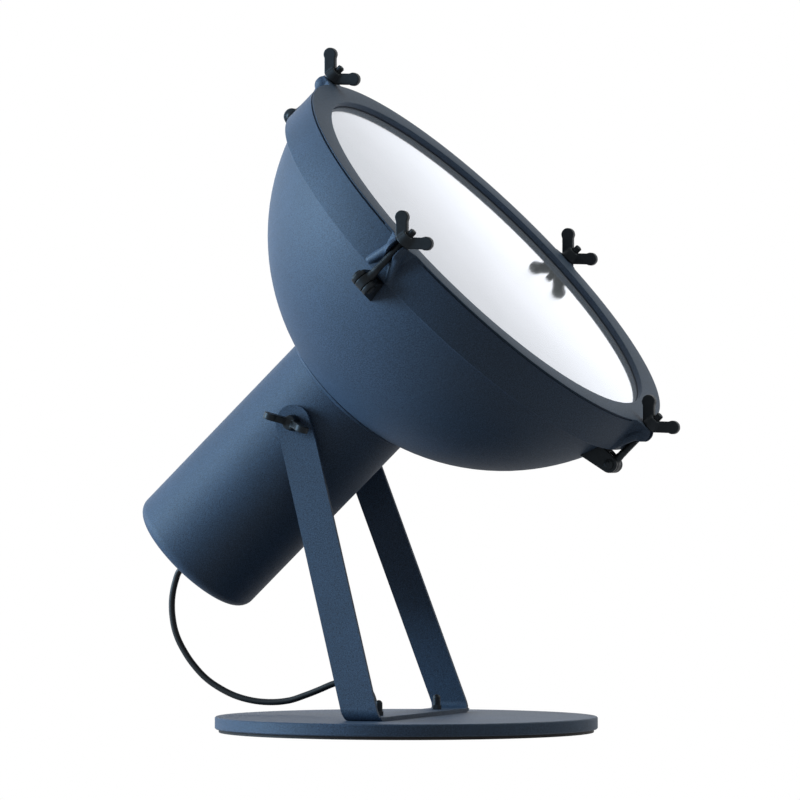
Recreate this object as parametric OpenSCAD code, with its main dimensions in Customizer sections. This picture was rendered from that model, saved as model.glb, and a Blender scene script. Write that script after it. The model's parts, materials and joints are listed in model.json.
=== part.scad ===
// Adjustable floor spotlight: a bowl and tube head that tilts in a flat-strip yoke on a round base.
// Millimetres. The origin is the centre of the base's underside, on the floor.
// +Z is up, +X is the way the lamp points and +Y runs across the yoke.

/* [Base] */
// Diameter of the base plate
base_d = 297; // [260:1:340]
// Thickness of the base plate
base_t = 9.5; // [8:0.5:14]
// Chamfer on the base plate's edges
base_chamfer = 0.8; // [0.2:0.1:2]
// Thickness of the pad under the base plate
pad_t = 2.5; // [1:0.5:4]
// Step in from the plate's edge to the pad's edge
pad_inset = 3; // [1:0.5:12]

/* [Yoke] */
// Width of the yoke strip
strip_w = 28; // [26:0.5:36]
// Thickness of the yoke strip
strip_t = 3; // [2:0.5:5]
// Inside radius of the bends at the yoke's feet
foot_bend_r = 5; // [3:0.5:10]
// Offset of the yoke's foot ahead of the base's centre
foot_x = 1.5; // [-8:0.5:8]
// Height of the tilt axis over the floor
pivot_h = 239.5; // [232:0.5:262]
// Lean of the arms behind the vertical, in degrees
arm_lean = 17.5; // [12:0.5:20]
// Splay of the arms out of the vertical, in degrees
arm_splay = 10.5; // [6:0.5:12]
// Distance from the centre plane to each yoke stud
stud_y = 64; // [50:1:75]
// Diameter of the yoke studs
stud_d = 4; // [3:0.5:5]
// Depth of the yoke studs in the base plate
stud_depth = 5; // [3:0.5:6]
// Width across the flats of the domed nuts
dome_nut_af = 6.6; // [6.2:0.2:8]
// Height of the hexagon of the domed nuts
dome_nut_hex_h = 3.4; // [2.5:0.2:5]
// Height of the domed nuts
dome_nut_h = 12; // [10:0.5:14]
// Wall of the domed nuts round their studs
dome_wall = 0.9; // [0.8:0.1:1.2]
// Length of the yoke studs inside the domed nuts
stud_in_nut = 5.4; // [4:0.2:6]

/* [Tilt pivot] */
// Diameter of the pivot screws
pivot_screw_d = 8; // [6:0.5:10]
// Length of the pivot screws inside the tube's side
pivot_screw_in = 7; // [5:0.5:12]
// Diameter of the threaded bosses in the tube's sides
boss_d = 22; // [18:0.5:26]
// Length of the bosses inside the tube's side
boss_in = 8; // [6:0.5:12]
// How far the bosses stand out of the tube's side
boss_out = 1; // [0.5:0.25:3]
// Diameter of the pivot washers
washer_d = 20; // [16:0.5:24]
// Thickness of the pivot washers
washer_t = 1; // [0.5:0.25:3]
// Turn of the pivot screws' wings out of the level, in degrees
pivot_wing_turn = 20; // [-45:5:45]

/* [Tube] */
// Tilt of the head over the level at rest, in degrees
tilt = 43.9; // [30:0.1:60]
// Diameter of the tube
tube_d = 114; // [104:1:120]
// Wall of the tube
tube_t = 2; // [1.5:0.5:3]
// Length of the tube behind the tilt axis
tube_back = 152; // [120:1:156]
// Rounding of the tube's rear edge
tube_round = 9; // [6:0.5:14]
// Width of the flange inside the tube's front end
neck_flange_w = 13; // [11:0.5:16]
// Thickness of the flange inside the tube's front end
neck_flange_t = 2; // [1.5:0.5:3]

/* [Bowl and ring] */
// Depth of the bowl from the ring's back to the tube
bowl_depth = 123.8; // [112:0.2:134]
// Step from the bowl's outside to the inside of the ring's band
rim_step_w = 4.5; // [3.5:0.5:8]
// Wall of the bowl
bowl_t = 2; // [1.5:0.5:3]
// Distance from the tilt axis to the ring's front face
ring_reach = 191; // [185:0.5:197]
// Diameter of the ring
ring_d = 365; // [362:1:372]
// Depth of the ring's band
ring_depth = 32; // [29:0.5:34]
// Thickness of the ring's band
band_t = 3; // [2:0.5:4]
// Width of the ring's front lip
lip_w = 20; // [18:0.5:24]
// Thickness of the ring's front lip
lip_t = 4.2; // [3:0.2:6]
// Rounding of the ring's front edge
ring_round = 1.2; // [0.6:0.2:2]
// Thickness of the glass
glass_t = 4; // [3:0.5:6]
// Thickness of the gasket in front of the glass
front_gasket_t = 1; // [0.5:0.25:3]
// Thickness of the gasket behind the glass
rear_gasket_t = 2; // [1:0.5:3]
// Step back from the lip's inner edge to the gaskets' inner edge
gasket_inset = 1; // [0.5:0.25:3]
// Step back from the front gasket's inner edge to the bowl's rim
rim_inset = 2; // [1:0.25:4]
// Thickness of the reflector
reflector_t = 1; // [0.8:0.1:2]
// Space between the bowl and the reflector
reflector_gap = 8; // [6:0.5:10]
// Width of the reflector's lap on the lampholder's flange
reflector_lap = 5; // [3:0.5:6]

/* [Ring clamps] */
// Distance from the ring's outside to the middle of the swing bolts
clamp_out = 6; // [5.5:0.25:8.5]
// Distance from the ring's front face back to the hinge pins
pin_back = 41.5; // [40:0.5:44]
// Diameter of the swing bolts
bolt_d = 6; // [5:0.25:6.5]
// Length of a swing bolt's end ahead of the ring's front face
bolt_out = 13.5; // [11:0.5:18]
// Diameter of the eyes of the swing bolts
eye_d = 13; // [11.5:0.5:14]
// Width of the eyes of the swing bolts
eye_w = 7; // [6:0.5:9]
// Diameter of the hinge pins
pin_d = 5; // [4:0.25:6]
// Thickness of each hinge lug cheek
cheek_t = 4; // [3:0.5:6]
// Reach of a hinge lug's foot back along the bowl, behind its eye
lug_foot = 6; // [3:0.5:8]
// Width of the ring's ears
ear_w = 17; // [15:0.5:20]
// Length of the ring's ears along the head's axis
ear_l = 18; // [15:0.5:22]

/* [Wing nuts] */
// Diameter of a wing nut's hub at its seat
hub_d = 13; // [11:0.5:15]
// Diameter of a wing nut's hub at its top
hub_top_d = 10.5; // [9:0.5:12]
// Height of a wing nut's hub
hub_h = 8; // [6:0.5:10]
// Sideways reach of a wing's round end, to its centre
wing_reach = 14; // [12:0.2:16]
// Height of a wing's round end, to its centre
wing_rise = 13.6; // [12:0.2:16]
// Radius of a wing's round end
wing_end_r = 5; // [4:0.2:6]
// Width of a wing's stem
wing_stem_w = 8.5; // [7:0.5:10]
// Thickness of the wings
wing_t = 5; // [3:0.5:6]

/* [Lamp] */
// Diameter of the lampholder's barrel
holder_d = 38; // [34:0.5:40]
// Length of the lampholder ahead of its flange
holder_front = 36; // [32:1:50]
// Length of the lampholder behind its flange
holder_rear = 40; // [30:1:50]
// Diameter of the lampholder's flange
holder_flange_d = 76; // [72:1:78]
// Thickness of the lampholder's flange
holder_flange_t = 2; // [1.5:0.5:3]
// Diameter of the bulb's screw cap
cap_d = 26.4; // [25:0.2:27]
// Length of the bulb's screw cap
cap_l = 28; // [24:1:34]
// Diameter of the bulb's globe
globe_d = 80; // [60:1:95]
// Length of the bulb's neck from its cap to the globe's centre
globe_ahead = 40; // [36:1:46]
// Length of the cone between the bulb's cap and its globe
bulb_cone_l = 12; // [10:0.5:16]

/* [Cord fittings] */
// Diameter of the flex
flex_d = 5; // [4:0.25:6]
// Place of the cord bush on the base, along X
bush_x = -26; // [-34:0.5:-20]
// Place of the cord bush on the base, along Y
bush_y = 0; // [-40:1:40]
// Diameter of the cord bush
bush_d = 10; // [8:0.5:10]
// Height of the cord bush over the base plate
bush_h = 4.5; // [3:0.5:7]
// Diameter of the gland's barrel
gland_d = 12; // [10:0.5:16]
// Diameter of the gland's collar and of its lock nut
gland_collar_d = 18; // [17:0.5:24]
// Length of the gland's collar
gland_collar_l = 5; // [3:0.5:7]
// Length of the gland's taper
gland_taper_l = 6; // [4:0.5:8]
// Step in from the gland's collar to its taper
gland_step = 2; // [1:0.5:3]
// Wall of the gland's taper round the flex, at its end
gland_tip_wall = 1.5; // [1:0.25:3]
// Width and height of the lead channel under the base plate
channel_w = 6.5; // [6:0.25:6.5]
// Length of the lead bush
lead_bush_l = 14; // [12:0.5:20]
// Length of the lead bush outside the base plate
lead_bush_out = 6; // [4:0.5:8]
// Diameter of the lead bush's bore
lead_bore_d = 5.2; // [4:0.2:5.4]
// Depth of the lead bush's bore
lead_bore_l = 10; // [6:0.5:10]

/* [Fits] */
// Radial clearance of a pin or screw in its bore
fit_gap = 0.05; // [0.02:0.01:0.1]
// Space between faces that move past each other
run_gap = 0.3; // [0.3:0.05:0.6]
// Radial clearance of a loose hole round a screw or barrel
loose_gap = 0.5; // [0.3:0.1:1]

/* [Hidden] */
$fn = 96;
// Overrun of a cut past the face that it starts from
over = 1;

// Heights on the base
base_r = base_d / 2;
base_top = pad_t + base_t;
strip_top = base_top + strip_t;

// Tilt axis and yoke
tube_r = tube_d / 2;
boss_face = tube_r + boss_out;
arm_in = boss_face + run_gap + washer_t;
arm_mid = arm_in + strip_t / 2;
arm_out = arm_in + strip_t;
pivot_x = foot_x - (pivot_h - base_top) * tan(arm_lean);
arm_straight = pivot_h - washer_d / 2 - strip_t;
foot_mid_r = foot_bend_r + strip_t / 2;
foot_bend_z = strip_top + foot_bend_r;
splay_start_z = foot_bend_z + foot_mid_r * sin(arm_splay);
splay_start_y = arm_mid + (arm_straight - splay_start_z) * tan(arm_splay);
foot_bend_y = splay_start_y - foot_mid_r * cos(arm_splay);
yoke_span = 2 * (foot_bend_y + foot_bend_r + 2 * strip_t);
foot_w = strip_w / cos(arm_lean);
dome_r = stud_d / 2 + dome_wall;

// Head: heights along the head's axis, from the tilt axis
ring_r = ring_d / 2;
band_in_r = ring_r - band_t;
ring_back_z = ring_reach - ring_depth;
lip_r = ring_r - lip_w;
lip_back_z = ring_reach - lip_t;
glass_front_z = lip_back_z - front_gasket_t;
glass_back_z = glass_front_z - glass_t;
rim_front_z = glass_back_z - rear_gasket_t;
rim_back_z = rim_front_z - bowl_t;
rim_r = band_in_r - loose_gap;
rim_step_z = ring_back_z + loose_gap;
rim_step_r = band_in_r - rim_step_w;
glass_r = rim_r - bowl_t;
gasket_in_r = lip_r + gasket_inset;
rim_in_r = gasket_in_r + rim_inset;
neck_z = rim_step_z - bowl_depth;
neck_in_r = tube_r - tube_t;
tube_wall_z = -tube_back + tube_t;

// Sphere of the bowl's outside, through its edge at the tube and its edge at the ring
bowl_z = (pow(rim_step_z, 2) + pow(rim_step_r, 2) - pow(neck_z, 2) - pow(tube_r, 2)) / (2 * bowl_depth);
bowl_r = norm([tube_r, bowl_z - neck_z]);

// Reflector and lamp
reflector_r = bowl_r - bowl_t - reflector_gap;
floor_z = neck_z + bowl_t;
holder_face_z = floor_z + holder_flange_t;
holder_end_z = holder_face_z + holder_front;
cap_wall = 5;
cap_back_z = holder_end_z - cap_l + cap_wall;
globe_z = cap_back_z + cap_l + globe_ahead;
reflector_hole_r = holder_flange_d / 2 - reflector_lap;
reflector_collar_h = 2;
reflector_rim_w = 4;
reflector_rim_r = sqrt(pow(reflector_r, 2) - pow(bowl_z - rim_back_z, 2));
neck_screw_d = 4;
neck_screw_r = neck_in_r - neck_flange_w / 2;
neck_screw_head_d = 7;
neck_screw_head_h = 2.2;
neck_screw_count = 4;
holder_screw_d = 3;
holder_screw_r = (holder_d / 2 + reflector_hole_r) / 2;
holder_screw_head_d = 5.6;
holder_screw_head_h = 2;
holder_screw_count = 3;
block_w = 22;
block_h = 14;
block_inset = 1;
block_depth = neck_flange_w - 2.5 * block_inset;
block_screw_d = 3;
screw_grip = 3;

// Clamps, measured from each hinge pin
clamp_angles = [180, 0, 270, 90];
wing_turns = [0, 0, 90, 90];
pin_z = ring_reach - pin_back;
seat_z = pin_back + run_gap;
bolt_l = pin_back + bolt_out;
lug_gap = eye_w + 2 * run_gap;
lug_w = lug_gap + 2 * cheek_t;
clamp_r = ring_r + clamp_out;
lug_eye_gap = 1;
lug_bridge_x = -eye_d / 2 - lug_eye_gap;
lug_reach = clamp_r - sqrt(pow(bowl_r, 2) - pow(bowl_z - pin_z + eye_d + lug_foot, 2));
pin_head_w = 1.2;
pin_head_d = pin_d + 2 * pin_head_w;
pin_head_t = 1.5;
ear_root = clamp_r - ring_r + band_t / 2;
slot_w = bolt_d + 2 * loose_gap;

// Flex: gland, route and bush
gland_end = tube_back + gland_collar_l + gland_taper_l;
gland_in = 12;
gland_nut_t = 4;
gland_tip_d = flex_d + 2 * gland_tip_wall;
head_dir = [cos(tilt), 0, sin(tilt)];
pivot = [pivot_x, 0, pivot_h];
flex_start = pivot - head_dir * (gland_end + loose_gap);
flex_end = [bush_x, bush_y, base_top + bush_h + loose_gap];
lead_z = pad_t + channel_w / 2;
flex_sides = 10;
flex_steps = 2;
flex_points = [
    flex_start,
    [-191.6, 0, 122], [-194, 0, 115.5], [-196, 0, 107.5], [-197, 0, 98.5], [-196.5, 0, 88], [-194, 0, 76],
    [-188.5, 0, 64], [-179, 0, 50.5], [-166, 0, 38], [-148, 0, 28], [-131, 0, 23], [-114, 0, 21.5],
    [-98, 0, 23], [-85, 0, 27], [-73, 0, 31.5], [-62, 0, 36], [-52, 0, 39], [-44, 0, 39.5],
    [-36, 0, 36.5], [-30, 0, 30.5], [-27, 0, 23.5],
    flex_end
];

// Frames

module at_head() {
    translate(pivot) rotate([0, 90 - tilt, 0]) children();
}

// Origin on a hinge pin: X outward, Y along the pin, Z along the head's axis
module at_clamp(angle) {
    at_head() rotate([0, 0, angle]) translate([clamp_r, 0, pin_z]) children();
}

// Origin on the tilt axis: Z outward across the yoke, side -1 is near and 1 is far
module at_pivot(side) {
    at_head() rotate([-90 * side, 0, 0]) children();
}

module around(count, radius, start = 0) {
    for (i = [0 : count - 1]) rotate([0, 0, start + 360 * i / count]) translate([radius, 0, 0]) children();
}

module tube_ring(r_out, r_in, z0, z1) {
    translate([0, 0, z0]) difference() {
        cylinder(r = r_out, h = z1 - z0);
        translate([0, 0, -over]) cylinder(r = r_in, h = z1 - z0 + 2 * over);
    }
}

// Shell between two spheres about the bowl's centre, as a half section
module shell_section(r_out, wall, z0, z1) {
    intersection() {
        translate([0, bowl_z]) difference() {
            circle(r = r_out);
            circle(r = r_out - wall);
        }
        translate([0, z0]) square([r_out + over, z1 - z0]);
    }
}

module box_section(r0, r1, z0, z1) {
    translate([r0, z0]) square([r1 - r0, z1 - z0]);
}

// Base

module stud_places() {
    for (side = [-1, 1]) translate([foot_x, side * stud_y, 0]) children();
}

module base_plate() {
    outline = [
        [0, pad_t], [base_r - base_chamfer, pad_t], [base_r, pad_t + base_chamfer],
        [base_r, base_top - base_chamfer], [base_r - base_chamfer, base_top], [0, base_top]
    ];
    color([0.17, 0.21, 0.27]) difference() {
        rotate_extrude() polygon(outline);
        stud_places() translate([0, 0, base_top - stud_depth]) cylinder(d = stud_d, h = stud_depth + over);
        translate([bush_x, bush_y, pad_t - over]) cylinder(d = bush_d, h = base_t + 2 * over);
        lead_channel();
    }
}

module lead_channel() {
    translate([bush_x - channel_w / 2, bush_y, pad_t - over])
        cube([channel_w, base_r - bush_y, channel_w + over]);
}

module base_pad() {
    color([0.08, 0.08, 0.09]) cylinder(r = base_r - pad_inset, h = pad_t);
}

module cord_bush() {
    color([0.07, 0.07, 0.08]) translate([bush_x, bush_y, pad_t]) cylinder(d = bush_d, h = base_t + bush_h);
}

module lead_bush() {
    edge_y = sqrt(pow(base_r, 2) - pow(bush_x, 2));
    color([0.07, 0.07, 0.08]) translate([bush_x, edge_y + lead_bush_out, 0]) difference() {
        translate([-channel_w / 2, -lead_bush_l, pad_t]) cube([channel_w, lead_bush_l, channel_w]);
        translate([0, over, lead_z]) rotate([90, 0, 0]) cylinder(d = lead_bore_d, h = lead_bore_l + over);
    }
}

// Yoke

// Half of the strip's path seen along X, as the points of a bent strip
module yoke_half_section() {
    normal = [cos(arm_splay), sin(arm_splay)] * strip_t / 2;
    low = [splay_start_y, splay_start_z];
    high = [arm_mid, arm_straight];
    far = 2 * foot_bend_r + 2 * strip_t;
    translate([0, base_top]) square([foot_bend_y, strip_t]);
    translate([foot_bend_y, foot_bend_z]) intersection() {
        difference() {
            circle(r = foot_bend_r + strip_t);
            circle(r = foot_bend_r);
        }
        polygon([[0, 0], [0, -far], [far, -far], [far, far * tan(arm_splay)]]);
    }
    polygon([low - normal, low + normal, high + normal, high - normal]);
    translate(high) circle(d = strip_t);
    translate([arm_in, arm_straight]) square([strip_t, pivot_h + strip_w - arm_straight]);
}

// Outline of the arms seen along Y, with the round top about the tilt axis
module yoke_outline() {
    translate([foot_x - foot_w / 2, base_top]) square([foot_w, strip_t]);
    translate([pivot_x, pivot_h]) circle(d = strip_w);
    polygon([
        [foot_x - foot_w / 2, base_top],
        [foot_x + foot_w / 2, base_top],
        [pivot_x + strip_w / 2 * cos(arm_lean), pivot_h + strip_w / 2 * sin(arm_lean)],
        [pivot_x - strip_w / 2 * cos(arm_lean), pivot_h - strip_w / 2 * sin(arm_lean)]
    ]);
}

module yoke() {
    color([0.19, 0.24, 0.31]) difference() {
        intersection() {
            rotate([90, 0, 90]) linear_extrude(2 * pivot_h, center = true) union() {
                yoke_half_section();
                mirror([1, 0]) yoke_half_section();
            }
            rotate([90, 0, 0]) linear_extrude(yoke_span, center = true) yoke_outline();
        }
        translate(pivot) rotate([90, 0, 0])
            cylinder(d = pivot_screw_d + 2 * fit_gap, h = yoke_span, center = true);
        stud_places() translate([0, 0, base_top - over])
            cylinder(d = stud_d + 2 * loose_gap, h = strip_t + 2 * over);
    }
}

module yoke_studs() {
    color([0.08, 0.08, 0.09]) stud_places() translate([0, 0, base_top - stud_depth])
        cylinder(d = stud_d, h = stud_depth + strip_t + stud_in_nut);
}

module dome_nuts() {
    color([0.08, 0.08, 0.09]) stud_places() translate([0, 0, strip_top]) difference() {
        union() {
            cylinder(d = dome_nut_af / cos(30), h = dome_nut_hex_h, $fn = 6);
            cylinder(r = dome_r, h = dome_nut_h - dome_r);
            translate([0, 0, dome_nut_h - dome_r]) sphere(r = dome_r);
        }
        translate([0, 0, -over]) cylinder(d = stud_d + 2 * fit_gap, h = stud_in_nut + over + fit_gap);
    }
}

module pivot_washers() {
    color([0.1, 0.1, 0.11]) for (side = [-1, 1]) at_pivot(side)
        tube_ring(washer_d / 2, pivot_screw_d / 2 + loose_gap, arm_in - washer_t, arm_in);
}

// Tube and its fittings

module tube_section() {
    difference() {
        union() {
            box_section(0, tube_r, -tube_back + tube_round, neck_z);
            box_section(0, tube_r - tube_round, -tube_back, neck_z);
            translate([tube_r - tube_round, -tube_back + tube_round]) circle(r = tube_round);
        }
        tube_hollow_section();
        box_section(-tube_round, 0, -tube_back - over, neck_z + over);
    }
}

module tube_hollow_section() {
    round_in = tube_round - tube_t;
    box_section(0, neck_in_r, -tube_back + tube_round, neck_z - neck_flange_t);
    box_section(0, neck_in_r - round_in, tube_wall_z, neck_z);
    translate([neck_in_r - round_in, -tube_back + tube_round]) circle(r = round_in);
    box_section(0, neck_in_r - neck_flange_w, tube_wall_z, neck_z + over);
}

module tube() {
    color([0.19, 0.24, 0.31]) at_head() difference() {
        rotate_extrude() union() {
            tube_section();
            box_section(neck_in_r - neck_flange_w, tube_r, neck_z - neck_flange_t, neck_z);
        }
        rotate([90, 0, 0]) cylinder(d = boss_d, h = 2 * tube_r + 2 * over, center = true);
        translate([0, 0, -tube_back - over]) cylinder(d = gland_d + 2 * fit_gap, h = tube_t + 2 * over);
        around(neck_screw_count, neck_screw_r, 45) translate([0, 0, neck_z - neck_flange_t - over])
            cylinder(d = neck_screw_d, h = neck_flange_t + 2 * over);
        translate([neck_screw_r, 0, neck_z - neck_flange_t - over])
            cylinder(d = block_screw_d, h = neck_flange_t + 2 * over);
    }
}

module pivot_bosses() {
    color([0.3, 0.31, 0.33]) for (side = [-1, 1]) at_pivot(side)
        tube_ring(boss_d / 2, pivot_screw_d / 2 + fit_gap, tube_r - boss_in, boss_face);
}

module cord_gland() {
    color([0.07, 0.07, 0.08]) at_head() {
        translate([0, 0, -tube_back]) cylinder(d = gland_d, h = gland_in);
        translate([0, 0, -tube_back - gland_collar_l]) cylinder(d = gland_collar_d, h = gland_collar_l);
        translate([0, 0, -gland_end])
            cylinder(d1 = gland_tip_d, d2 = gland_collar_d - 2 * gland_step, h = gland_taper_l);
    }
}

module gland_nut() {
    color([0.07, 0.07, 0.08]) at_head() translate([0, 0, tube_wall_z]) difference() {
        cylinder(d = gland_collar_d, h = gland_nut_t, $fn = 6);
        translate([0, 0, -over]) cylinder(d = gland_d + 2 * fit_gap, h = gland_nut_t + 2 * over);
    }
}

module terminal_block() {
    color([0.85, 0.84, 0.8]) at_head() difference() {
        translate([neck_in_r - neck_flange_w + block_inset, -block_w / 2, neck_z - neck_flange_t - block_h])
            cube([block_depth, block_w, block_h]);
        translate([neck_screw_r, 0, neck_z - neck_flange_t - block_h - over])
            cylinder(d = block_screw_d + 2 * fit_gap, h = block_h + 2 * over);
    }
}

module terminal_screw() {
    low_z = neck_z - neck_flange_t - block_h;
    color([0.7, 0.7, 0.72]) at_head() translate([neck_screw_r, 0, low_z - holder_screw_head_h]) {
        cylinder(d = holder_screw_head_d, h = holder_screw_head_h);
        cylinder(d = block_screw_d, h = holder_screw_head_h + block_h + neck_flange_t);
    }
}

// Bowl, reflector and lamp

module bowl() {
    color([0.19, 0.24, 0.31]) at_head() difference() {
        rotate_extrude() union() {
            shell_section(bowl_r, bowl_t, neck_z, rim_step_z + bowl_t);
            box_section(holder_d / 2 + loose_gap, tube_r, neck_z, floor_z);
            box_section(rim_step_r - bowl_t / 2, rim_r, rim_step_z, rim_step_z + bowl_t);
            box_section(rim_r - bowl_t, rim_r, rim_step_z, rim_front_z);
            box_section(rim_in_r, rim_r, rim_back_z, rim_front_z);
        }
        around(neck_screw_count, neck_screw_r, 45) translate([0, 0, neck_z - over])
            cylinder(d = neck_screw_d, h = bowl_t + 2 * over);
        around(holder_screw_count, holder_screw_r) translate([0, 0, neck_z - over])
            cylinder(d = holder_screw_d, h = bowl_t + 2 * over);
    }
}

module neck_screws() {
    color([0.7, 0.7, 0.72]) at_head() around(neck_screw_count, neck_screw_r, 45) translate([0, 0, floor_z]) {
        cylinder(d = neck_screw_head_d, h = neck_screw_head_h);
        translate([0, 0, -bowl_t - neck_flange_t - screw_grip])
            cylinder(d = neck_screw_d, h = bowl_t + neck_flange_t + screw_grip);
    }
}

module reflector() {
    color([0.9, 0.9, 0.92]) at_head() rotate_extrude() difference() {
        union() {
            shell_section(reflector_r, reflector_t, holder_face_z, rim_back_z);
            box_section(reflector_rim_r - reflector_rim_w, reflector_rim_r + reflector_rim_w,
                rim_back_z - reflector_t, rim_back_z);
            box_section(reflector_hole_r, reflector_hole_r + reflector_t, holder_face_z,
                holder_face_z + reflector_collar_h);
        }
        box_section(0, reflector_hole_r, 0, bowl_z);
    }
}

module lampholder() {
    color([0.93, 0.92, 0.9]) at_head() difference() {
        union() {
            translate([0, 0, floor_z - holder_rear])
                cylinder(d = holder_d, h = holder_rear + holder_flange_t + holder_front);
            translate([0, 0, floor_z]) cylinder(d = holder_flange_d, h = holder_flange_t);
        }
        translate([0, 0, cap_back_z]) cylinder(d = cap_d + 2 * fit_gap, h = cap_l + over);
        around(holder_screw_count, holder_screw_r) translate([0, 0, floor_z - over])
            cylinder(d = holder_screw_d + 2 * fit_gap, h = holder_flange_t + 2 * over);
    }
}

module holder_screws() {
    color([0.7, 0.7, 0.72]) at_head() around(holder_screw_count, holder_screw_r)
        translate([0, 0, holder_face_z]) {
            cylinder(d = holder_screw_head_d, h = holder_screw_head_h);
            translate([0, 0, -holder_flange_t - bowl_t - screw_grip])
                cylinder(d = holder_screw_d, h = holder_flange_t + bowl_t + screw_grip);
        }
}

module bulb() {
    color([0.97, 0.97, 0.95]) at_head() {
        translate([0, 0, cap_back_z]) cylinder(d = cap_d, h = cap_l);
        translate([0, 0, cap_back_z + cap_l]) cylinder(d1 = cap_d, d2 = globe_d / 2, h = bulb_cone_l);
        translate([0, 0, globe_z]) sphere(d = globe_d);
    }
}

// Ring, glass and gaskets

module ring_section() {
    box_section(band_in_r, ring_r, ring_back_z, ring_reach - ring_round);
    box_section(lip_r, ring_r - ring_round, lip_back_z, ring_reach);
    translate([ring_r - ring_round, ring_reach - ring_round]) circle(r = ring_round);
}

// Ear: a boss with a slot that lets the swing bolt out, crowned so that the nut swings clear
module ear() {
    intersection() {
        difference() {
            union() {
                translate([0, 0, pin_back - ear_l]) cylinder(d = ear_w, h = ear_l + over);
                translate([-ear_root, -ear_w / 2, pin_back - ear_l]) cube([ear_root, ear_w, ear_l + over]);
            }
            translate([0, 0, pin_back - ear_l - over]) cylinder(d = slot_w, h = ear_l + 3 * over);
            translate([0, -slot_w / 2, pin_back - ear_l - over]) cube([ear_w, slot_w, ear_l + 3 * over]);
        }
        rotate([90, 0, 0]) cylinder(r = pin_back, h = 2 * ear_w, center = true);
    }
}

module ring() {
    color([0.19, 0.24, 0.31]) {
        at_head() rotate_extrude() ring_section();
        for (angle = clamp_angles) at_clamp(angle) ear();
    }
}

module front_gasket() {
    color([0.1, 0.1, 0.11]) at_head() tube_ring(glass_r, gasket_in_r, glass_front_z, lip_back_z);
}

module glass() {
    color([0.93, 0.95, 0.97]) at_head() translate([0, 0, glass_back_z]) cylinder(r = glass_r, h = glass_t);
}

module rear_gasket() {
    color([0.1, 0.1, 0.11]) at_head() tube_ring(glass_r, rim_in_r, rim_front_z, glass_back_z);
}

// Clamps

// Hinge lug: two cheeks on a foot that fits the bowl, with a back edge that slopes to the foot's end
module hinge_lug() {
    eye_r = eye_d / 2;
    heel = [-lug_reach, -eye_r - lug_foot];
    touch = atan2(heel[1], heel[0]) + acos(eye_r / norm(heel));
    difference() {
        rotate([90, 0, 0]) union() {
            cylinder(r = eye_r, h = lug_w, center = true);
            linear_extrude(lug_w, center = true)
                polygon([[0, 0], [0, eye_r], [-lug_reach, eye_r], heel, eye_r * [cos(touch), sin(touch)]]);
        }
        translate([lug_bridge_x, -lug_gap / 2, -eye_d]) cube([2 * eye_d, lug_gap, 2 * eye_d]);
        rotate([90, 0, 0]) cylinder(d = pin_d, h = lug_w + 2 * over, center = true);
    }
}

module hinge_lugs() {
    color([0.09, 0.1, 0.11]) for (angle = clamp_angles) difference() {
        at_clamp(angle) hinge_lug();
        at_head() translate([0, 0, bowl_z]) sphere(r = bowl_r, $fn = 240);
    }
}

module hinge_pins() {
    color([0.09, 0.1, 0.11]) for (angle = clamp_angles) at_clamp(angle) rotate([90, 0, 0]) {
        cylinder(d = pin_d, h = lug_w, center = true);
        for (side = [0, 1]) mirror([0, 0, side]) translate([0, 0, lug_w / 2])
            cylinder(d = pin_head_d, h = pin_head_t);
    }
}

module swing_bolt(index) {
    color([0.09, 0.1, 0.11]) at_clamp(clamp_angles[index]) difference() {
        union() {
            cylinder(d = bolt_d, h = bolt_l);
            rotate([90, 0, 0]) cylinder(d = eye_d, h = eye_w, center = true);
        }
        rotate([90, 0, 0]) cylinder(d = pin_d + 2 * fit_gap, h = eye_w + 2 * over, center = true);
    }
}

module wing_shape() {
    stem_l = norm([wing_reach, wing_rise]);
    rotate([90, 0, 0]) linear_extrude(wing_t, center = true) for (side = [0, 1]) mirror([side, 0]) union() {
        translate([wing_reach, wing_rise]) circle(r = wing_end_r);
        rotate(atan2(wing_rise, wing_reach)) translate([wing_stem_w / 2, -wing_stem_w / 2])
            square([stem_l - wing_stem_w / 2, wing_stem_w]);
    }
}

module wing_hub() {
    cylinder(d1 = hub_d, d2 = hub_top_d, h = hub_h);
    wing_shape();
}

module wing_nut(index) {
    color([0.09, 0.1, 0.11]) at_clamp(clamp_angles[index])
        translate([0, 0, seat_z]) rotate([0, 0, wing_turns[index]]) difference() {
            wing_hub();
            translate([0, 0, -over]) cylinder(d = bolt_d + 2 * fit_gap, h = bolt_l);
        }
}

module wing_screw(side) {
    color([0.09, 0.1, 0.11]) at_pivot(side) {
        translate([0, 0, tube_r - pivot_screw_in])
            cylinder(d = pivot_screw_d, h = pivot_screw_in + arm_out - tube_r + run_gap + hub_h / 2);
        translate([0, 0, arm_out + run_gap]) rotate([0, 0, side * (tilt - 90 + pivot_wing_turn)]) wing_hub();
    }
}

// Flex: a tube swept along its route

function spline(p0, p1, p2, p3, t) = 0.5 * (
    2 * p1 + (p2 - p0) * t + (2 * p0 - 5 * p1 + 4 * p2 - p3) * t * t + (3 * p1 - p0 - 3 * p2 + p3) * t * t * t
);
function unit(v) = v / norm(v);
function pick(list, i) = list[max(0, min(len(list) - 1, i))];
function route(list, steps) = concat(
    [
        for (i = [0 : len(list) - 2]) for (k = [0 : steps - 1])
            spline(pick(list, i - 1), list[i], list[i + 1], pick(list, i + 2), k / steps)
    ],
    [list[len(list) - 1]]
);
function tangent(list, i) = unit(pick(list, i + 1) - pick(list, i - 1));
// Side of the tube: square to the flex and to a level line that it never runs along
level_line = [0.32, 0.95, 0];
function side_of(direction) = unit(cross(direction, level_line));

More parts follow.
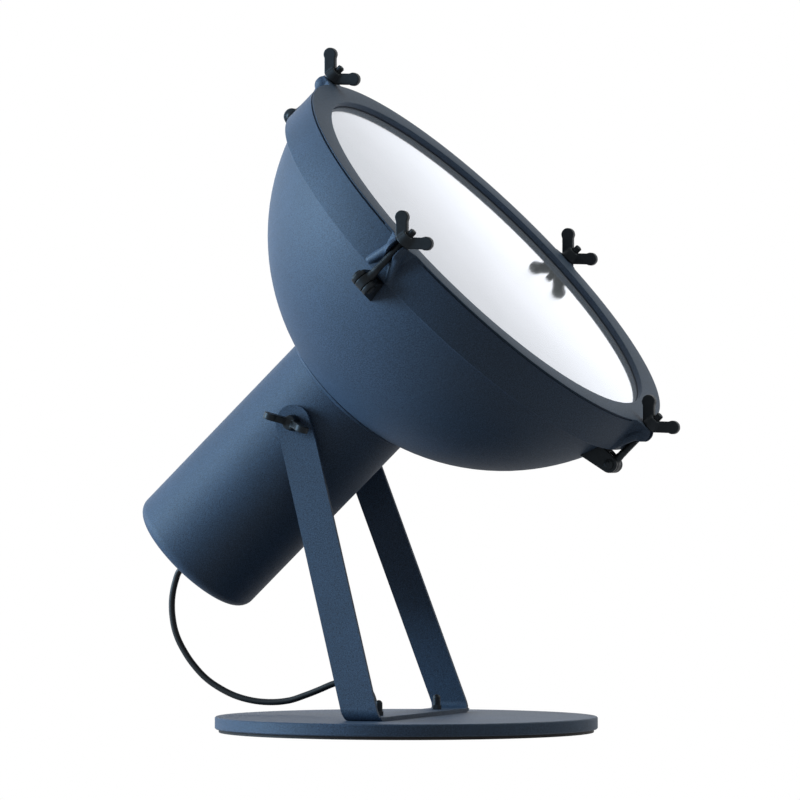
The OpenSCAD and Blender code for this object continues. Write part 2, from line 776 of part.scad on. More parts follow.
module swept_tube(list, diameter, sides) {
    last = len(list) - 1;
    rings = [
        for (i = [0 : last])
            let (ahead = tangent(list, i), across = side_of(ahead), over = cross(ahead, across))
                for (k = [0 : sides - 1])
                    list[i] + diameter / 2 * (across * cos(360 * k / sides) + over * sin(360 * k / sides))
    ];
    walls = [
        for (i = [0 : last - 1]) for (k = [0 : sides - 1])
            let (a = i * sides + k, b = i * sides + (k + 1) % sides)
                each [[a, b, b + sides], [a, b + sides, a + sides]]
    ];
    ends = [
        for (k = [1 : sides - 2]) each [
            [0, k + 1, k],
            [last * sides, last * sides + k, last * sides + k + 1]
        ]
    ];
    polyhedron(points = rings, faces = [for (face = concat(walls, ends)) [face[2], face[1], face[0]]]);
}

module flex() {
    color([0.05, 0.05, 0.06]) swept_tube(route(flex_points, flex_steps), flex_d, flex_sides);
}

base_plate();
base_pad();
yoke();
yoke_studs();
dome_nuts();
pivot_washers();
cord_bush();
lead_bush();
tube();
pivot_bosses();
bowl();
neck_screws();
ring();
front_gasket();
glass();
rear_gasket();
reflector();
lampholder();
holder_screws();
bulb();
terminal_block();
terminal_screw();
cord_gland();
gland_nut();
flex();
hinge_lugs();
hinge_pins();
swing_bolt(0);  // swing_bolt_top
swing_bolt(1);  // swing_bolt_bottom
swing_bolt(2);  // swing_bolt_near
swing_bolt(3);  // swing_bolt_far
wing_nut(0);  // wing_nut_top
wing_nut(1);  // wing_nut_bottom
wing_nut(2);  // wing_nut_near
wing_nut(3);  // wing_nut_far
wing_screw(-1);  // wing_screw_near
wing_screw(1);  // wing_screw_far
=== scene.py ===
import json
import math

import bmesh
import bpy
from mathutils import Matrix, Quaternion, Vector


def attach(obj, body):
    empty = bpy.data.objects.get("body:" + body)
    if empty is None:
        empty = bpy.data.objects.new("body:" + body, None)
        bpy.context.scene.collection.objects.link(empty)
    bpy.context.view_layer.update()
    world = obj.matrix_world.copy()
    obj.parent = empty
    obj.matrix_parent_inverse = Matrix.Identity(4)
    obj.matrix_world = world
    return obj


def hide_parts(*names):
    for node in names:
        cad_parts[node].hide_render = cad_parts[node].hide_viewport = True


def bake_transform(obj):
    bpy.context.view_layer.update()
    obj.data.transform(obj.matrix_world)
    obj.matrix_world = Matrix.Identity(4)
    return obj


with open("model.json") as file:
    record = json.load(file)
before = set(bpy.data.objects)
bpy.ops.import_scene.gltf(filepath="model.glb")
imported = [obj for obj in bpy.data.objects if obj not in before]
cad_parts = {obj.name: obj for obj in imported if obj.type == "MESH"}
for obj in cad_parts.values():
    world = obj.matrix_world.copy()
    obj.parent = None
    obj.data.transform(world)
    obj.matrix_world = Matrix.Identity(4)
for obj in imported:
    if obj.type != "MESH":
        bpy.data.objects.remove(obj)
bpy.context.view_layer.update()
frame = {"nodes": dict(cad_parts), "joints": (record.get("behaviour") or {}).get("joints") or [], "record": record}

nodes = frame["nodes"]
scene = bpy.context.scene
joints = {j["name"]: j for j in frame["joints"]}
MM = 0.001

# Camera: the photograph's view, fitted to the lamp's edges

CAMERA_PLACE = Vector((1.7037, -4.5352, 0.2091))
CAMERA_TURN = (90.571, 0.0, 20.647)
CAMERA_LENS, CAMERA_SENSOR = 280.96, 36


def make_camera():
    data = bpy.data.cameras.new("camera")
    data.sensor_width = CAMERA_SENSOR
    data.lens = CAMERA_LENS
    camera = bpy.data.objects.new("camera", data)
    camera.location = CAMERA_PLACE
    camera.rotation_euler = [math.radians(a) for a in CAMERA_TURN]
    scene.collection.objects.link(camera)
    scene.camera = camera


make_camera()

# Meshes


def smooth(mesh):
    mesh.polygons.foreach_set("use_smooth", [True] * len(mesh.polygons))
    return mesh


def new_mesh(name, points, faces):
    mesh = bpy.data.meshes.new(name)
    mesh.from_pydata([tuple(p) for p in points], [], faces)
    mesh.validate()
    mesh.update()
    return smooth(mesh)


def shape_mesh(name, shape):
    """Mesh of a bmesh, which is freed."""
    mesh = bpy.data.meshes.new(name)
    shape.to_mesh(mesh)
    shape.free()
    return smooth(mesh)


def new_object(name, mesh):
    obj = bpy.data.objects.new(name, mesh)
    scene.collection.objects.link(obj)
    return obj


def round_angles(sides):
    return [2 * math.pi * k / sides for k in range(sides)]


def grid_faces(rows, sides, closed=False):
    """Quads between round rows of points, and from the last row to the first if closed."""
    faces = []
    for i in range(rows if closed else rows - 1):
        low, high = i * sides, (i + 1) % rows * sides
        for k in range(sides):
            after = (k + 1) % sides
            faces.append((low + k, low + after, high + after, high + k))
    return faces


def rod_faces(rows, sides):
    """Quads between round rows of points, with a cap on either end."""
    last = (rows - 1) * sides
    return grid_faces(rows, sides) + [tuple(range(sides))[::-1], tuple(range(last, last + sides))]


def spline(points, steps):
    """Smooth curve through the points, with that many steps from one to the next."""
    last = len(points) - 1
    curve = []
    for i in range(last):
        p0, p1, p2, p3 = (points[max(0, min(last, j))] for j in (i - 1, i, i + 1, i + 2))
        for k in range(steps):
            t = k / steps
            curve.append(0.5 * (
                2 * p1 + (p2 - p0) * t + (2 * p0 - 5 * p1 + 4 * p2 - p3) * t ** 2
                + (3 * p1 - p0 - 3 * p2 + p3) * t ** 3
            ))
    return curve + [points[last]]


def tube_along(name, path, radius, sides):
    """Closed round tube along a path."""
    never_along_path = Vector((0.32, 0.95, 0))
    last = len(path) - 1
    points = []
    for i, centre in enumerate(path):
        ahead = (path[min(last, i + 1)] - path[max(0, i - 1)]).normalized()
        across = ahead.cross(never_along_path).normalized()
        over = ahead.cross(across)
        points += [centre + radius * (across * math.cos(a) + over * math.sin(a)) for a in round_angles(sides)]
    return new_mesh(name, points, rod_faces(len(path), sides))


def rounded(corners, steps=4):
    """Closed outline of (across, along, radius) corners with each corner rounded."""
    points = []
    for i, (r, z, radius) in enumerate(corners):
        corner = Vector((r, z))
        before = (Vector(corners[i - 1][:2]) - corner).normalized() * radius
        after = (Vector(corners[(i + 1) % len(corners)][:2]) - corner).normalized() * radius
        for k in range(steps + 1 if radius else 1):
            t = k / steps
            points.append(corner + before * (1 - t) ** 2 + after * t ** 2)
    return points


def revolved(name, outline, sides):
    """Ring made by turning a closed (radius, height) outline round the Z axis."""
    points = [(r * math.cos(a), r * math.sin(a), z) for r, z in outline for a in round_angles(sides)]
    return new_mesh(name, points, grid_faces(len(outline), sides, closed=True))


# Materials


class MaterialNodes:
    """A material's node tree, with short calls to add and join nodes."""

    def __init__(self, name):
        self.material = bpy.data.materials.new(name)
        self.material.use_nodes = True
        self.tree = self.material.node_tree
        self.shader = self.tree.nodes["Principled BSDF"]
        self.place = self.add("ShaderNodeTexCoord").outputs["Object"]

    def add(self, kind, **values):
        node = self.tree.nodes.new(kind)
        for key, value in values.items():
            setattr(node, key, value)
        return node

    def join(self, out, into):
        self.tree.links.new(out, into)

    def set(self, **values):
        for key, value in values.items():
            self.shader.inputs[key.replace("_", " ")].default_value = value

    def noise(self, scale, detail):
        node = self.add("ShaderNodeTexNoise")
        node.inputs["Scale"].default_value = scale
        node.inputs["Detail"].default_value = detail
        self.join(self.place, node.inputs["Vector"])
        return node.outputs["Fac"]

    def ramp(self, factor, low, high, start=0.3, end=0.7):
        node = self.add("ShaderNodeValToRGB")
        node.color_ramp.elements[0].position = start
        node.color_ramp.elements[1].position = end
        node.color_ramp.elements[0].color = (*low, 1)
        node.color_ramp.elements[1].color = (*high, 1)
        self.join(factor, node.inputs["Fac"])
        return node.outputs["Color"]

    def span(self, factor, low, high):
        node = self.add("ShaderNodeMapRange")
        node.inputs["To Min"].default_value = low
        node.inputs["To Max"].default_value = high
        self.join(factor, node.inputs["Value"])
        return node.outputs["Result"]

    def product(self, a, b):
        """Product of two colours: a mix node has its colours at inputs 6 and 7 and output 2."""
        node = self.add("ShaderNodeMix", data_type="RGBA", blend_type="MULTIPLY")
        node.inputs["Factor"].default_value = 1
        self.join(a, node.inputs[6])
        self.join(b, node.inputs[7])
        return node.outputs[2]

    def bump(self, height, distance, strength, below=None):
        node = self.add("ShaderNodeBump")
        node.inputs["Distance"].default_value = distance * MM
        node.inputs["Strength"].default_value = strength
        self.join(height, node.inputs["Height"])
        if below is not None:
            self.join(below, node.inputs["Normal"])
        return node.outputs["Normal"]

    def finish(self, colour, roughness, normal):
        for out, key in ((colour, "Base Color"), (roughness, "Roughness"), (normal, "Normal")):
            self.join(out, self.shader.inputs[key])
        return self.material


def powder_coat():
    n = MaterialNodes("blue_powder_coat")
    n.set(Specular_IOR_Level=0.36)
    broad = n.ramp(n.noise(22, 3), (0.033, 0.058, 0.098), (0.039, 0.067, 0.114))
    specks = n.ramp(n.noise(1500, 2), (0.55, 0.55, 0.55), (1.45, 1.45, 1.45), 0.36, 0.64)
    colour = n.product(broad, specks)
    grain = n.bump(n.noise(1300, 2), 0.12, 0.55)
    peel = n.bump(n.noise(420, 2), 0.20, 0.35, grain)
    return n.finish(colour, n.span(n.noise(700, 2), 0.55, 0.7), peel)


def black_coat():
    n = MaterialNodes("black_hardware")
    n.set(Specular_IOR_Level=0.28, Specular_Tint=(0.72, 0.86, 1, 1))
    colour = n.ramp(n.noise(260, 3), (0.006, 0.007, 0.008), (0.012, 0.014, 0.016))
    cast = n.bump(n.noise(900, 3), 0.12, 0.5)
    return n.finish(colour, n.span(n.noise(340, 2), 0.4, 0.55), cast)


def rubber(name, low, high):
    n = MaterialNodes(name)
    n.set(Specular_IOR_Level=0.35)
    colour = n.ramp(n.noise(150, 3), low, high)
    roughness = n.span(n.noise(500, 2), 0.62, 0.8)
    return n.finish(colour, roughness, n.bump(n.noise(1400, 2), 0.1, 0.5))


def plastic(name, low, high, rough_low, rough_high):
    n = MaterialNodes(name)
    colour = n.ramp(n.noise(120, 2), low, high)
    roughness = n.span(n.noise(600, 2), rough_low, rough_high)
    return n.finish(colour, roughness, n.bump(n.noise(1800, 2), 0.05, 0.4))


def sheath():
    n = MaterialNodes("cord_sheath")
    n.set(Specular_IOR_Level=0.25)
    colour = n.ramp(n.noise(90, 3), (0.009, 0.011, 0.012), (0.016, 0.018, 0.020))
    roughness = n.span(n.noise(400, 2), 0.40, 0.55)
    return n.finish(colour, roughness, n.bump(n.noise(1600, 2), 0.06, 0.5))


def bright_glass():
    n = MaterialNodes("etched_glass")
    n.set(Metallic=0.7, Specular_IOR_Level=0.5)
    colour = n.ramp(n.noise(6, 2), (0.78, 0.815, 0.895), (0.82, 0.845, 0.925))
    roughness = n.span(n.noise(40, 2), 0.08, 0.10)
    return n.finish(colour, roughness, n.bump(n.noise(9, 1), 0.4, 0.1))


def spun_metal(name, low, high, rough_low, rough_high):
    n = MaterialNodes(name)
    n.set(Metallic=1.0)
    colour = n.ramp(n.noise(80, 3), low, high)
    roughness = n.span(n.noise(300, 2), rough_low, rough_high)
    return n.finish(colour, roughness, n.bump(n.noise(900, 2), 0.05, 0.4))


MATERIALS = {
    "blue_powder_coat": powder_coat(),
    "black_hardware": black_coat(),
    "black_rubber": rubber("black_rubber", (0.010, 0.010, 0.011), (0.018, 0.018, 0.019)),
    "grey_rubber": rubber("grey_rubber", (0.024, 0.034, 0.052), (0.032, 0.044, 0.064)),
    "black_plastic": plastic("black_plastic", (0.012, 0.012, 0.013), (0.02, 0.02, 0.022), 0.42, 0.56),
    "cord_sheath": sheath(),
    "etched_glass": bright_glass(),
    "spun_aluminium": spun_metal("spun_aluminium", (0.82, 0.82, 0.84), (0.92, 0.92, 0.94), 0.18, 0.3),
    "porcelain": plastic("porcelain", (0.82, 0.8, 0.75), (0.88, 0.86, 0.82), 0.1, 0.18),
    "opal_glass": plastic("opal_glass", (0.88, 0.88, 0.85), (0.93, 0.93, 0.9), 0.12, 0.22),
    "white_plastic": plastic("white_plastic", (0.7, 0.69, 0.64), (0.78, 0.77, 0.72), 0.35, 0.5),
    "plated_steel": spun_metal("plated_steel", (0.55, 0.55, 0.56), (0.68, 0.68, 0.69), 0.25, 0.4),
}


def dress_cad():
    slots = {part["node"]: part["material_slot"] for part in frame["record"]["subparts"]}
    for name, obj in nodes.items():
        obj.data.materials.clear()
        obj.data.materials.append(MATERIALS[slots[name]])


dress_cad()


def piece(name, mesh, slot, body, *stands_for):
    """A new piece that rides on a body, in place of the CAD nodes it stands for."""
    obj = new_object(name, mesh)
    mesh.materials.clear()
    mesh.materials.append(MATERIALS[slot])
    if stands_for:
        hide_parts(*stands_for)
    if body:
        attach(obj, body)
    return obj


# Flex: from the tube's gland down into the base.

FLEX_D = 5 * MM
FLEX_POINTS = [
    (-191.6, 0, 122), (-194, 0, 115.5), (-196, 0, 107.5), (-197, 0, 98.5), (-196.5, 0, 88),
    (-194, 0, 76), (-188.5, 0, 64), (-179, 0, 50.5), (-166, 0, 38), (-148, 0, 28), (-131, 0, 23),
    (-114, 0, 21.5), (-98, 0, 23), (-85, 0, 27), (-73, 0, 31.5), (-62, 0, 36), (-52, 0, 39),
    (-44, 0, 39.5), (-36, 0, 36.5), (-30, 0, 30.5), (-27, 0, 23.5),
]
FLEX_START = Vector((-188.04, 0, 126.13)) * MM
FLEX_END = Vector((-26, 0, 17)) * MM
FLEX_STEPS, FLEX_SIDES = 8, 20


def make_flex():
    points = [FLEX_START] + [Vector(p) * MM for p in FLEX_POINTS] + [FLEX_END]
    path = spline(points, FLEX_STEPS)
    mesh = tube_along("flex_cord", path, FLEX_D / 2, FLEX_SIDES)
    flex = piece("flex_cord", mesh, "cord_sheath", None, "flex")
    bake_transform(flex)


make_flex()

# Castings: lumps in millimetres, fused into one smooth solid

CAST_VOXEL, CAST_ROUNDS = 0.36, 7


class Lumps:
    """Simple closed solids that overlap, before they are fused."""

    def __init__(self):
        self.shape = bmesh.new()

    def rod(self, start, end, radius, end_radius=None, sides=48):
        start, end = Vector(start), Vector(end)
        turn = (end - start).to_track_quat("Z", "Y").to_matrix().to_4x4()
        bmesh.ops.create_cone(
            self.shape, cap_ends=True, segments=sides, radius1=radius, radius2=end_radius or radius,
            depth=(end - start).length, matrix=Matrix.Translation((start + end) / 2) @ turn,
        )

    def box(self, low, high, turn=Matrix()):
        low, high = Vector(low), Vector(high)
        size = Matrix.Diagonal((*(high - low), 1))
        bmesh.ops.create_cube(self.shape, size=1, matrix=turn @ Matrix.Translation((low + high) / 2) @ size)

    def ball(self, centre, radius):
        bmesh.ops.create_uvsphere(
            self.shape, u_segments=96, v_segments=48, radius=radius, matrix=Matrix.Translation(centre))

    def mesh(self, name):
        return shape_mesh(name, self.shape)


def fuse(name, lumps, voxel, rounds, cuts=()):
    """One mesh of the lumps without the cuts, its edges rounded by rounds of smoothing."""
    rough = new_object(name, lumps.mesh(name))
    helpers = [rough]

    def remesh():
        step = rough.modifiers.new("remesh", "REMESH")
        step.mode = "VOXEL"
        step.voxel_size = voxel

    remesh()
    for cut in cuts:
        helpers.append(new_object("cut", cut.mesh("cut")))
        step = rough.modifiers.new("cut", "BOOLEAN")
        step.object = helpers[-1]
        step.solver = "MANIFOLD"
    if cuts:
        remesh()
    rough.modifiers.new("smooth", "SMOOTH").iterations = rounds
    bpy.context.view_layer.update()
    mesh = bpy.data.meshes.new_from_object(rough.evaluated_get(bpy.context.evaluated_depsgraph_get()))
    for helper in helpers:
        bpy.data.objects.remove(helper)
    return smooth(mesh)


def placed(name, mesh, *frames):
    """One mesh in metres with a copy of the millimetre mesh in each frame."""
    shape = bmesh.new()
    for place in frames:
        copy = mesh.copy()
        copy.transform(place @ Matrix.Scale(MM, 4))
        shape.from_mesh(copy)
        bpy.data.meshes.remove(copy)
    return shape_mesh(name, shape)


def joined(name, *meshes):
    shape = bmesh.new()
    for mesh in meshes:
        shape.from_mesh(mesh)
    return shape_mesh(name, shape)


# Frames of the head, the clamps and the pivots, from the joints

PIVOT = Vector(joints["head_tilt"]["pos_m"])
HEAD_AXIS = Vector(joints["nut_top"]["axis"]).normalized()
ACROSS = Vector((0, 1, 0))
CLAMPS = ("top", "bottom", "near", "far")
PIVOT_SCREWS = ("near", "far")
RUN_GAP = 0.3
SCREW_TURN = math.radians(20)


def axes(origin, x, y, z):
    return Matrix.Translation(origin) @ Matrix((x, y, z)).transposed().to_4x4()


HEAD = axes(PIVOT, ACROSS.cross(HEAD_AXIS), ACROSS, HEAD_AXIS)


def clamp_frame(name):
    """Origin on a hinge pin: X outward, Y along the pin, Z along the head's axis."""
    pin = joints["swing_" + name]
    along = Vector(pin["axis"]).normalized()
    return axes(Vector(pin["pos_m"]), along.cross(HEAD_AXIS), along, HEAD_AXIS)


def nut_frame(name):
    """Origin on a wing nut's seat: Z along the bolt, wings in the plane of X and Z."""
    seat = Vector(joints["nut_" + name]["pos_m"]) + HEAD_AXIS * RUN_GAP * MM
    return axes(seat, ACROSS.cross(HEAD_AXIS), ACROSS, HEAD_AXIS)


def screw_frame(name):
    """Origin on a pivot screw's seat: Z out of the yoke, wings in the plane of X and Z."""
    out = Vector(joints["screw_" + name]["axis"])
    level = Vector((math.cos(SCREW_TURN), 0, -math.sin(SCREW_TURN)))
    seat = Vector(joints["screw_" + name]["pos_m"]) + out * RUN_GAP * MM
    return axes(seat, level, out.cross(level), out)


# Sizes of the ring, the bowl and the clamps: lengths along the head's axis start at the pivot

RING_R, RING_DEPTH, RING_REACH = 182.5, 32.0, 191.0
BAND_T, LIP_W, LIP_T = 3.0, 20.0, 4.2
BOWL_Z, BOWL_R = 208.17, 181.64
CLAMP_R, PIN_BACK = 188.5, 41.5
PIN_Z = RING_REACH - PIN_BACK
BOLT_R = 3.0

# Wing nuts and pivot wing screws

HUB_R, HUB_TOP_R, HUB_H = 6.5, 5.4, 8.0
WING_REACH, WING_RISE = 13.8, 13.4
WING_END_R, WING_STEM_W, WING_T = 5.2, 8.8, 5.2
SHANK_R, SHANK_L = 4.0, 12.6


def winged_hub(root):
    """Hub with two wings that lean outward from the root, each with a round end."""
    lumps = Lumps()
    lumps.rod((0, 0, 0), (0, 0, HUB_H), HUB_R, HUB_TOP_R)
    half = Vector((0, WING_T / 2, 0))
    for side in (1, -1):
        end = Vector((side * WING_REACH, 0, WING_RISE))
        lumps.rod(end - half, end + half, WING_END_R)
        lean = Matrix.Rotation(-math.atan2(WING_RISE, side * WING_REACH), 4, "Y")
        lumps.box((root, -WING_T / 2, -WING_STEM_W / 2), (end.length, WING_T / 2, WING_STEM_W / 2), lean)
    return lumps


def below_seat():
    """Cut that leaves the hub a flat seat."""
    wide = 3 * HUB_R
    cut = Lumps()
    cut.box((-wide, -wide, -HUB_R), (wide, wide, 0))
    return cut


def make_wing_nuts():
    bore = Lumps()
    bore.rod((0, 0, -HUB_H), (0, 0, 3 * HUB_H), BOLT_R + RUN_GAP)
    cast = fuse("wing_nut", winged_hub(BOLT_R), CAST_VOXEL, CAST_ROUNDS, (below_seat(), bore))
    for name in CLAMPS:
        node = "wing_nut_" + name
        piece(node + "_cast", placed(node, cast, nut_frame(name)), "black_hardware", node, node)


def make_wing_screws():
    cast = fuse("wing_screw", winged_hub(0), CAST_VOXEL, CAST_ROUNDS, (below_seat(),))
    shank = Lumps()
    shank.rod((0, 0, -SHANK_L), (0, 0, HUB_H / 2), SHANK_R)
    whole = joined("wing_screw", cast, shank.mesh("shank"))
    for name in PIVOT_SCREWS:
        node = "wing_screw_" + name
        piece(node + "_cast", placed(node, whole, screw_frame(name)), "black_hardware", node, node)


make_wing_nuts()
make_wing_screws()

# Swing bolts

BOLT_L, BOLT_PLAIN_L, BOLT_INSET = 55.0, 14.0, 0.05
THREAD_PITCH, THREAD_DEPTH, THREAD_ROWS = 1.0, 0.38, 6
BOLT_SIDES, BOLT_TIP = 20, 1.0
EYE_R, EYE_W, EYE_ROUNDS = 6.5, 7.0, 5
PIN_R, PIN_GAP = 2.5, 0.1
COLLAR_R, COLLAR_LOW, COLLAR_HIGH = BOLT_R + 0.6, EYE_R - 2, EYE_R + 4
BOLT_LOW = EYE_R - 1.5


def threaded_rod(start, end):
    """Rod with a helical thread ahead of its plain stretch, and a rounded tip."""
    rows = round((end - start) / THREAD_PITCH * THREAD_ROWS)
    points = []
    for i in range(rows + 1):
        z = start + (end - start) * i / rows
        tip = BOLT_TIP * max(0, 1 - (end - z) / BOLT_TIP) ** 2
        for k, a in enumerate(round_angles(BOLT_SIDES)):
            wave = 0.5 + 0.5 * math.cos(2 * math.pi * (z / THREAD_PITCH - k / BOLT_SIDES))
            cut = THREAD_DEPTH * wave if z > BOLT_PLAIN_L else 0
            r = BOLT_R - BOLT_INSET - cut - tip
            points.append((r * math.cos(a), r * math.sin(a), z))
    return new_mesh("rod", points, rod_faces(rows + 1, BOLT_SIDES))


def make_swing_bolts():
    lumps = Lumps()
    lumps.rod((0, -EYE_W / 2, 0), (0, EYE_W / 2, 0), EYE_R)
    lumps.rod((0, 0, COLLAR_LOW), (0, 0, COLLAR_HIGH), COLLAR_R, BOLT_R)
    bore = Lumps()
    bore.rod((0, -EYE_W, 0), (0, EYE_W, 0), PIN_R + PIN_GAP)
    eye = fuse("eye", lumps, CAST_VOXEL, EYE_ROUNDS, (bore,))
    bolt = joined("swing_bolt", eye, threaded_rod(BOLT_LOW, BOLT_L))
    for name in CLAMPS:
        node = "swing_bolt_" + name
        piece(node + "_turned", placed(node, bolt, clamp_frame(name)), "black_hardware", node, node)


make_swing_bolts()

# Hinge lugs on the bowl, and hinge pins with riveted heads

LUG_W, LUG_REACH, LUG_LEAN = 15.6, 24.0, math.radians(-14)
LUG_VOXEL, LUG_ROUNDS, LUG_SINK = 0.5, 7, 1.0
CHEEK_T, EYE_CLEARANCE = 4.0, 1.0
PIN_HEAD_R, PIN_HEAD_IN, PIN_HEAD_OUT = 3.9, 3.0, 1.6
PIN_CROWN_R, PIN_CROWN_OUT = 2.4, 2.2
PIN_ROUNDS = 6


def lug_mesh():
    """Two cheeks round the eye, joined behind it and sloped to meet the bowl."""
    lumps = Lumps()
    leans = [Matrix.Rotation(lean, 4, "Y") for lean in (0, LUG_LEAN)]
    for side in (1, -1):
        low, high = sorted((side * (LUG_W / 2 - CHEEK_T), side * LUG_W / 2))
        lumps.rod((0, low, 0), (0, high, 0), EYE_R)
        for lean in leans:
            lumps.box((-LUG_REACH, low, -EYE_R), (0, high, EYE_R), lean)
    for lean in leans:
        lumps.box((-LUG_REACH, -LUG_W / 2, -EYE_R), (-EYE_R - EYE_CLEARANCE, LUG_W / 2, EYE_R), lean)
    inside = Lumps()
    inside.ball((-CLAMP_R, 0, BOWL_Z - PIN_Z), BOWL_R - LUG_SINK)
    return fuse("hinge_lug", lumps, LUG_VOXEL, LUG_ROUNDS, (inside,))


def pin_mesh():
    lumps = Lumps()
    for side in (1, -1):
        cheek = LUG_W / 2
        lumps.rod((0, side * (cheek - PIN_HEAD_IN), 0), (0, side * (cheek + PIN_HEAD_OUT), 0), PIN_HEAD_R)
        lumps.rod((0, side * cheek, 0), (0, side * (cheek + PIN_CROWN_OUT), 0), PIN_CROWN_R)
    heads = fuse("pin_heads", lumps, CAST_VOXEL, PIN_ROUNDS)
    shaft = Lumps()
    shaft.rod((0, -LUG_W / 2, 0), (0, LUG_W / 2, 0), PIN_R)
    return joined("hinge_pin", heads, shaft.mesh("shaft"))


def make_hinges():
    frames = [clamp_frame(name) for name in CLAMPS]
    lugs = placed("hinge_lugs", lug_mesh(), *frames)
    pins = placed("hinge_pins", pin_mesh(), *frames)
    piece("hinge_lugs_cast", lugs, "black_hardware", "head", "hinge_lugs")
    piece("hinge_pins_turned", pins, "black_hardware", "head", "hinge_pins")


make_hinges()

# Ring: turned band and lip with a dark groove between them, and four cast ears

RING_SIDES = 240
GROOVE_BACK, GROOVE_W, GROOVE_DEEP = 0.7, 1.3, 1.5
LIP_INSET = 0.3
EAR_R, EAR_L, EAR_NOSE = 8.3, 17.0, 6.5
EAR_VOXEL, EAR_ROUNDS = 0.6, 12
EAR_SINK, EAR_SEAT_INSET, LEG_AHEAD = 2.0, 0.1, 2.0
SLOT_R = 3.5
SKIRT_W, SKIRT_STEP, SKIRT_INSET = 6.8, math.radians(2), 0.4


def band_mesh():
    back = RING_REACH - RING_DEPTH
    band_in, lip_in, lip_out = RING_R - BAND_T, RING_R - LIP_W, RING_R - LIP_INSET
    lip_back = RING_REACH - LIP_T
    groove_r = RING_R - GROOVE_DEEP
    groove_front = RING_REACH - GROOVE_BACK
    groove_back = groove_front - GROOVE_W
    outline = rounded([
        (RING_R, back, 0.8), (RING_R, groove_back, 0.3), (groove_r, groove_back, 0),
        (groove_r, groove_front, 0), (lip_out, groove_front, 0.2), (lip_out, RING_REACH, 0.4),
        (lip_in, RING_REACH, 0.8), (lip_in, lip_back, 0.5), (band_in, lip_back, 0.5), (band_in, back, 0.5),
    ])
    return revolved("ring", outline, RING_SIDES)


def ear_mesh():
    """Rounded nose round the bolt, with two legs that spread to the band's rear edge."""
    band_back = PIN_BACK - RING_DEPTH
    rear = band_back + LEG_AHEAD
    nose, tail, ahead = PIN_BACK - EAR_NOSE, PIN_BACK - EAR_L, PIN_BACK + EAR_R
    far, wide = 2 * PIN_BACK, 40
    rods = {
        "back": ((-7, 0, tail), (-0.8, 0, nose), 5, EAR_R - 0.3),
        "front": ((-2, 0, nose), (-2, 0, ahead), EAR_R - 0.5, EAR_R - 0.5),
        "left leg": ((-8.6, 11.5, rear), (-1, 4.4, nose - 2), 3.4, 4.2),
        "right leg": ((-8.6, -11.5, rear), (-1, -4.4, nose - 2), 3.4, 4.2),
        "root": ((-18, 0, tail - 6), (-14, 0, ahead), 13, 16),
    }
    lumps = Lumps()
    lumps.ball((-0.3, 0, nose), EAR_R)
    for start, end, radius, end_radius in rods.values():
        lumps.rod(start, end, radius, end_radius)
    skirt_low = (RING_R - EAR_SINK, -SKIRT_W / 2, band_back)
    skirt_high = (RING_R - SKIRT_INSET, SKIRT_W / 2, PIN_BACK)
    for k in range(-3, 4):
        turn = Matrix.Translation((-CLAMP_R, 0, 0)) @ Matrix.Rotation(k * SKIRT_STEP, 4, "Z")
        lumps.box(skirt_low, skirt_high, turn)
    slot, mouth, inside, front = (Lumps() for _ in range(4))
    slot.rod((0, 0, 0), (0, 0, far), SLOT_R)
    mouth.box((0, -SLOT_R, 0), (3 * EAR_R, SLOT_R, far))
    inside.rod((-CLAMP_R, 0, 0), (-CLAMP_R, 0, far), RING_R - EAR_SINK, sides=192)
    front.box((-wide, -wide, PIN_BACK - EAR_SEAT_INSET), (wide, wide, far))
    return fuse("ear", lumps, EAR_VOXEL, EAR_ROUNDS, (slot, mouth, inside, front))


def make_ring():
    ears = placed("ears", ear_mesh(), *(clamp_frame(name) for name in CLAMPS))
    ring = joined("ring", placed("band", band_mesh(), HEAD), ears)
    piece("ring_cast", ring, "blue_powder_coat", "head", "ring")


make_ring()

# Neck seam: sloped bead of paint where the bowl meets the tube, as (radius, height)

NECK_SEAM = [(56.6, 33.4), (57.4, 33.5), (59.2, 35.3), (59.4, 36.6), (56.6, 37.0)]
NECK_SIDES = 160


def make_neck_seam():
    seam = placed("neck_seam", revolved("seam", NECK_SEAM, NECK_SIDES), HEAD)
    piece("neck_seam", seam, "blue_powder_coat", "head")


make_neck_seam()

# Soft edges on the solids that stay

SHARP_EDGE = math.radians(35)
WELD_GAP = 0.01


def soften(width, *names):
    """Rounds the sharp edges of CAD nodes without changing their meshes."""
    for name in names:
        obj = nodes[name]
        weld = obj.modifiers.new("weld", "WELD")
        weld.merge_threshold = WELD_GAP * MM
        bevel = obj.modifiers.new("soft_edges", "BEVEL")
        bevel.width = width * MM
        bevel.segments = 2
        bevel.limit_method = "ANGLE"
        bevel.angle_limit = SHARP_EDGE
        obj.modifiers.new("shading", "WEIGHTED_NORMAL").keep_sharp = False


soften(0.5, "base_plate", "yoke", "bowl")
soften(0.3, "dome_nuts", "cord_gland", "cord_bush", "lead_bush", "pivot_washers", "base_pad")

# Stage: white floor and surroundings, with a large soft light on the left

LAMP_MIDDLE = Vector((0, 0, 0.28))
FLOOR_HALF = 30
FLOOR_GREY, FLOOR_ROUGHNESS = (0.15, 0.15, 0.15, 1), 0.9
SKY_COLOUR, SKY_STRENGTH = (0.85, 0.92, 1, 1), 0.03
REFLECTED_WHITE = 0.75


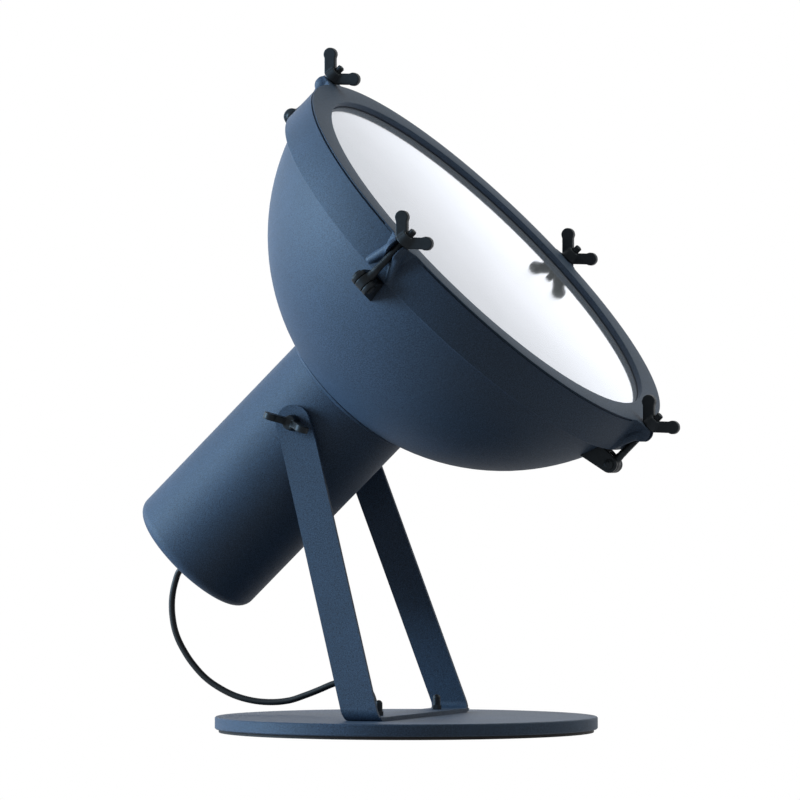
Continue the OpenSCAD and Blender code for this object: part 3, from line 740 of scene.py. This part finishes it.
def studio_white(tree, shader_kind, other):
    """White to the camera, a dim white to reflections, and the other shader's light to the rest."""
    light_path = tree.nodes.new("ShaderNodeLightPath")
    camera, glossy = light_path.outputs["Is Camera Ray"], light_path.outputs["Is Glossy Ray"]
    strength = tree.nodes.new("ShaderNodeMath")
    strength.operation = "MULTIPLY_ADD"
    tree.links.new(glossy, strength.inputs[0])
    strength.inputs[1].default_value = REFLECTED_WHITE
    tree.links.new(camera, strength.inputs[2])
    share = tree.nodes.new("ShaderNodeMath")
    tree.links.new(camera, share.inputs[0])
    tree.links.new(glossy, share.inputs[1])
    white = tree.nodes.new(shader_kind)
    white.inputs["Color"].default_value = (1, 1, 1, 1)
    tree.links.new(strength.outputs[0], white.inputs["Strength"])
    mix = tree.nodes.new("ShaderNodeMixShader")
    tree.links.new(share.outputs[0], mix.inputs["Fac"])
    tree.links.new(other.outputs[0], mix.inputs[1])
    tree.links.new(white.outputs[0], mix.inputs[2])
    return mix


def make_world():
    world = bpy.data.worlds.new("studio")
    world.use_nodes = True
    tree = world.node_tree
    dim = tree.nodes["Background"]
    dim.inputs["Color"].default_value = SKY_COLOUR
    dim.inputs["Strength"].default_value = SKY_STRENGTH
    mix = studio_white(tree, "ShaderNodeBackground", dim)
    tree.links.new(mix.outputs[0], tree.nodes["World Output"].inputs["Surface"])
    scene.world = world


def make_floor():
    half = FLOOR_HALF
    corners = [(-half, -half, 0), (half, -half, 0), (half, half, 0), (-half, half, 0)]
    floor = new_object("floor", new_mesh("floor", corners, [(0, 1, 2, 3)]))
    material = bpy.data.materials.new("floor")
    material.use_nodes = True
    tree = material.node_tree
    matt = tree.nodes["Principled BSDF"]
    matt.inputs["Base Color"].default_value = FLOOR_GREY
    matt.inputs["Roughness"].default_value = FLOOR_ROUGHNESS
    mix = studio_white(tree, "ShaderNodeEmission", matt)
    tree.links.new(mix.outputs[0], tree.nodes["Material Output"].inputs["Surface"])
    floor.data.materials.append(material)


def soft_light(name, place, size, radiance, colour, roll=0.0):
    """Rectangular light turned to the lamp's middle."""
    data = bpy.data.lights.new(name, "AREA")
    data.shape = "RECTANGLE"
    data.size, data.size_y = size
    data.energy = radiance * math.pi * size[0] * size[1]
    data.color = colour
    light = bpy.data.objects.new(name, data)
    light.location = place
    aim = (LAMP_MIDDLE - Vector(place)).to_track_quat("-Z", "Y")
    light.rotation_euler = (aim @ Quaternion((0, 0, 1), roll)).to_euler()
    light.visible_camera = False
    scene.collection.objects.link(light)
    return light


def make_lights():
    square = (1.6, 1.6)
    soft_light("key", (-2.74, -1.05, 0.90), square, 19.0, (0.55, 0.79, 1.0))
    soft_light("back_left", (-2.68, 1.19, 0.90), square, 1.2, (0.82, 0.92, 1.0))
    soft_light("high_right", (1.80, 0.69, 2.58), square, 3.6, (0.95, 1.0, 0.92))
    panel = soft_light("back_panel", (-0.80, 3.2, 0.66), (4.0, 2.4), 0.92, (0.95, 0.97, 1.0), math.radians(37))
    panel.visible_diffuse = False


make_world()
make_floor()
make_lights()
scene.view_settings.view_transform = "Standard"
